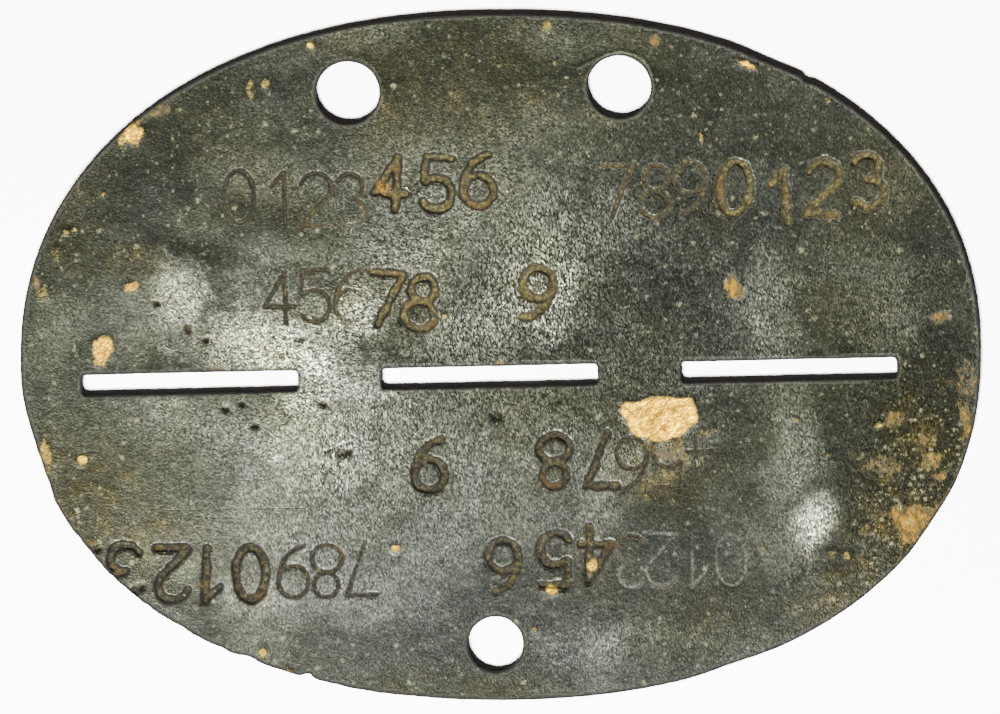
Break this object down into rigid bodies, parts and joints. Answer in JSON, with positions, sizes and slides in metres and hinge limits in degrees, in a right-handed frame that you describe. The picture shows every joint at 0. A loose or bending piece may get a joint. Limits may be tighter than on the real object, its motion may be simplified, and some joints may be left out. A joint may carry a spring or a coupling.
{
  "type": "identification dog tag",
  "caption": "Flat oval identification disc of weathered zinc sheet, with round cord and tie holes, a slotted break line and plain stamped figures on each half.",
  "frame": {"origin": "centre of the oval on the flat back face", "axes": "+X along the length, to the right as the upper half's figures read; +Y across the width, towards the cord holes; +Z out of the stamped face"},
  "size_m": [0.07, 0.05, 0.001],
  "materials": {
    "weathered_zinc": "dark grey zinc, worn satin and pitted, with sandy crusts and rust-brown stains"
  },
  "bodies": {
    "root": {"identity_disc": "weathered_zinc"}
  },
  "joints": []
}
